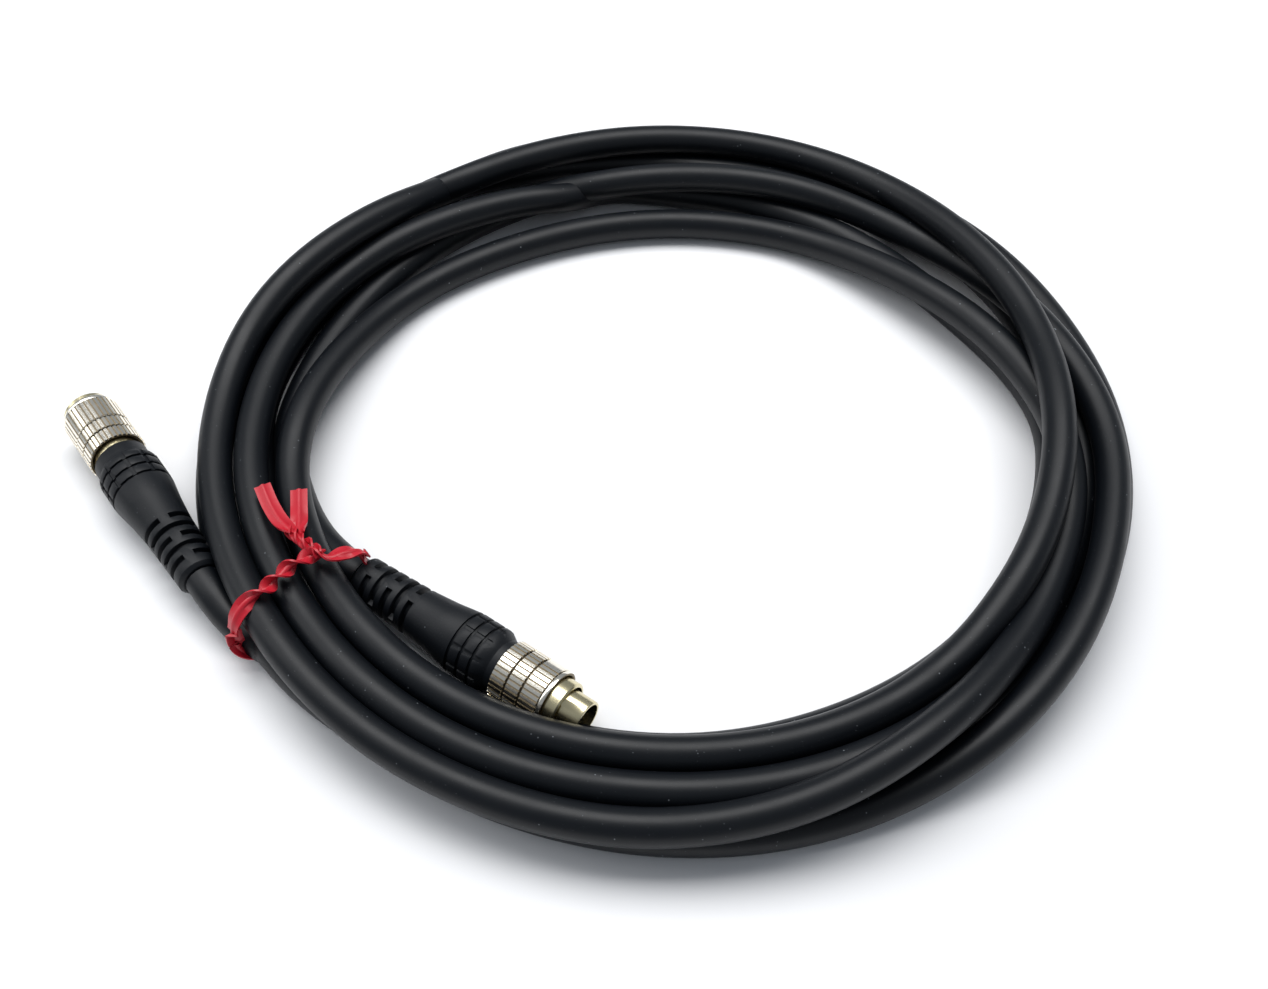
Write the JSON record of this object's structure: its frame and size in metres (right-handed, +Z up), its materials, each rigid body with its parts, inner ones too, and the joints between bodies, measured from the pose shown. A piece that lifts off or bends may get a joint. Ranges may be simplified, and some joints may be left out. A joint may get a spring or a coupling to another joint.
{
  "type": "camera cable coil",
  "caption": "Loosely coiled round camera cable with a circular push-pull plug and moulded boot on each end, held by a twist tie.",
  "frame": {"origin": "on the floor, under the middle of the whole object's box", "axes": "+Z up, +X from plug A's side across the coil, +Y away from the picture's viewer"},
  "size_m": [0.218, 0.1878, 0.0203],
  "materials": {
    "cable_jacket": "satin black jacket",
    "boot_rubber": "matt moulded rubber",
    "shell_metal": "thin bright nickel over brass",
    "sleeve_metal": "knurled bright nickel plate",
    "insert_plastic": "black moulded insulator",
    "contact_metal": "gold plated",
    "tie_plastic": "glossy thin red plastic"
  },
  "bodies": {
    "cable": {"cable_coil": "cable_jacket", "cable_lead_a": "cable_jacket", "cable_lead_b": "cable_jacket", "boot_a": "boot_rubber", "boot_b": "boot_rubber", "shell_a": "shell_metal", "shell_b": "shell_metal", "insert_a": "insert_plastic", "insert_b": "insert_plastic", "pin_a_01": "contact_metal", "pin_a_02": "contact_metal", "pin_a_03": "contact_metal", "pin_a_04": "contact_metal", "pin_a_05": "contact_metal", "pin_a_06": "contact_metal", "pin_a_07": "contact_metal", "pin_a_08": "contact_metal", "pin_a_09": "contact_metal", "pin_a_10": "contact_metal", "pin_a_11": "contact_metal", "pin_a_12": "contact_metal", "twist_tie": "tie_plastic"},
    "coupling_a": {"sleeve_a": "sleeve_metal"},
    "coupling_b": {"sleeve_b": "sleeve_metal"}
  },
  "joints": [
    {"name": "sleeve_a_slide", "type": "slide", "parent": "cable", "child": "coupling_a", "axis": [0.6018, -0.7986, 0], "range_m": [0, 0.0013], "stiffness_N_per_m": 600},
    {"name": "sleeve_b_slide", "type": "slide", "parent": "cable", "child": "coupling_b", "axis": [-0.8131, 0.5821, 0], "range_m": [0, 0.0013], "stiffness_N_per_m": 600}
  ]
}
